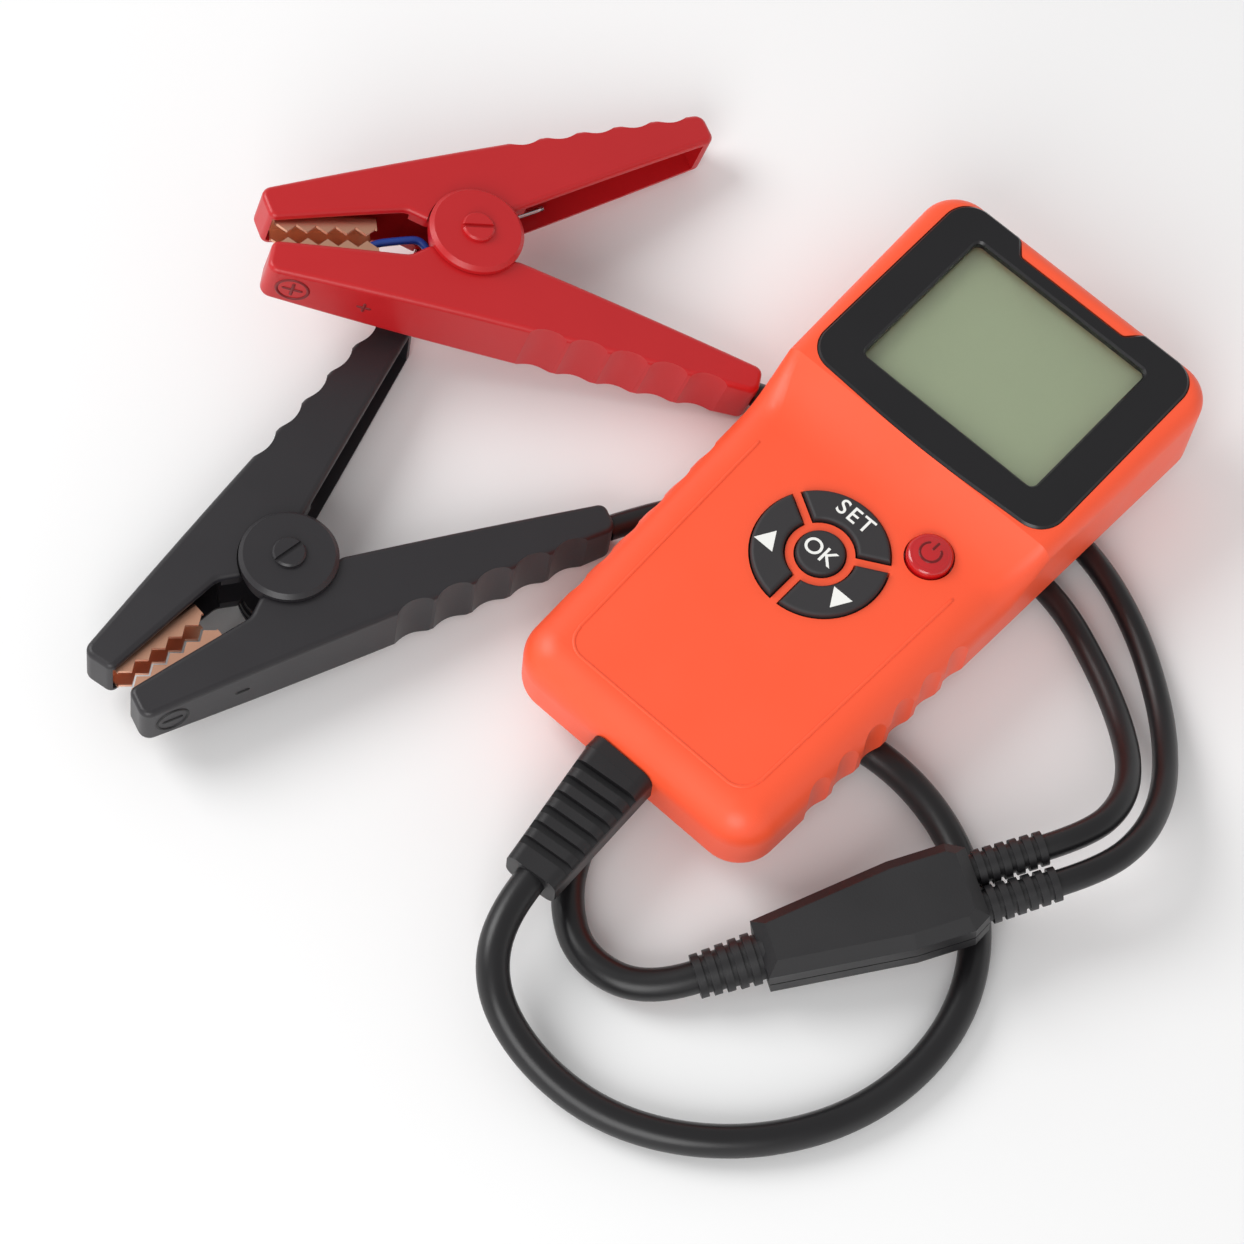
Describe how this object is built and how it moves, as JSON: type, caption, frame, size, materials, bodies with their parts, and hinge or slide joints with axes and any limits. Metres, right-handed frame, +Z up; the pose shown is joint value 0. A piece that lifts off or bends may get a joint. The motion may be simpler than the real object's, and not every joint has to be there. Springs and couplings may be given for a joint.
{
  "type": "handheld car battery tester",
  "caption": "Handheld battery tester with display head, round sprung keypad and a test cable that splits into leads ending in red and black spring clamps.",
  "frame": {"origin": "on the table under the middle of the box round the tester and its clamps, cables left out", "axes": "+Y along the tester's long axis towards its display end, +Z up out of the keypad face, +X to the right of a reader of the display"},
  "size_m": [0.2367, 0.212, 0.0346],
  "materials": {
    "orange_abs": "satin, fine texture",
    "black_abs": "satin",
    "clear_lens": "clear",
    "lcd_glass": "grey-green display",
    "white_acrylic": "diffuse",
    "board_laminate": "green laminate",
    "keypad_rubber": "matte",
    "red_key": "translucent gloss",
    "spring_steel": "bright wire",
    "plated_steel": "zinc plated",
    "black_pvc": "satin moulding",
    "cable_jacket": "satin jacket",
    "red_nylon": "satin moulding",
    "black_nylon": "satin moulding",
    "copper": "bright copper",
    "blue_wire": "satin jacket"
  },
  "bodies": {
    "tester": {"backlight_plate": "white_acrylic", "bezel_frame": "black_abs", "black_fixed_arm": "black_nylon", "black_fixed_jaw": "copper", "black_lead": "cable_jacket", "black_pivot_caps": "black_nylon", "black_pivot_pin": "plated_steel", "black_sense_wire": "blue_wire", "black_torsion_spring": "spring_steel", "board_screws": "plated_steel", "cable_splitter": "black_pvc", "case_screws": "plated_steel", "display_window": "clear_lens", "front_shell": "orange_abs", "keypad_membrane": "keypad_rubber", "lcd_panel": "lcd_glass", "main_board": "board_laminate", "main_cable": "cable_jacket", "rear_cover": "orange_abs", "red_fixed_arm": "red_nylon", "red_fixed_jaw": "copper", "red_lead": "cable_jacket", "red_pivot_caps": "red_nylon", "red_pivot_pin": "plated_steel", "red_sense_wire": "blue_wire", "red_torsion_spring": "spring_steel", "strain_relief": "black_pvc", "switch_domes": "spring_steel"},
    "set_button": {"set_button": "keypad_rubber"},
    "ok_button": {"ok_button": "keypad_rubber"},
    "up_button": {"up_button": "keypad_rubber"},
    "down_button": {"down_button": "keypad_rubber"},
    "power_button": {"power_button": "red_key"},
    "red_jaw_arm": {"red_moving_arm": "red_nylon", "red_moving_jaw": "copper"},
    "black_jaw_arm": {"black_moving_arm": "black_nylon", "black_moving_jaw": "copper"}
  },
  "joints": [
    {"name": "set_button_press", "type": "slide", "parent": "tester", "child": "set_button", "axis": [0, 0, -1], "range_m": [0, 0.0008], "stiffness_N_per_m": 900},
    {"name": "ok_button_press", "type": "slide", "parent": "tester", "child": "ok_button", "axis": [0, 0, -1], "range_m": [0, 0.0008], "stiffness_N_per_m": 900},
    {"name": "up_button_press", "type": "slide", "parent": "tester", "child": "up_button", "axis": [0, 0, -1], "range_m": [0, 0.0008], "stiffness_N_per_m": 900},
    {"name": "down_button_press", "type": "slide", "parent": "tester", "child": "down_button", "axis": [0, 0, -1], "range_m": [0, 0.0008], "stiffness_N_per_m": 900},
    {"name": "power_button_press", "type": "slide", "parent": "tester", "child": "power_button", "axis": [0, 0, -1], "range_m": [0, 0.0008], "stiffness_N_per_m": 900},
    {"name": "red_clamp_open", "type": "hinge", "parent": "tester", "child": "red_jaw_arm", "pos_m": [-0.0534, 0.0231, 0.0192], "axis": [-0.142, -0.1633, -0.9763], "range_deg": [0, 40], "stiffness_Nm_per_rad": 0.5, "springref_deg": -34.38, "deforming": ["red_torsion_spring"]},
    {"name": "black_clamp_open", "type": "hinge", "parent": "tester", "child": "black_jaw_arm", "pos_m": [-0.0292, -0.0585, 0.0102], "axis": [-0.0078, -0.0693, -0.9976], "range_deg": [0, 40], "stiffness_Nm_per_rad": 0.5, "springref_deg": -34.38, "deforming": ["black_torsion_spring"]}
  ]
}
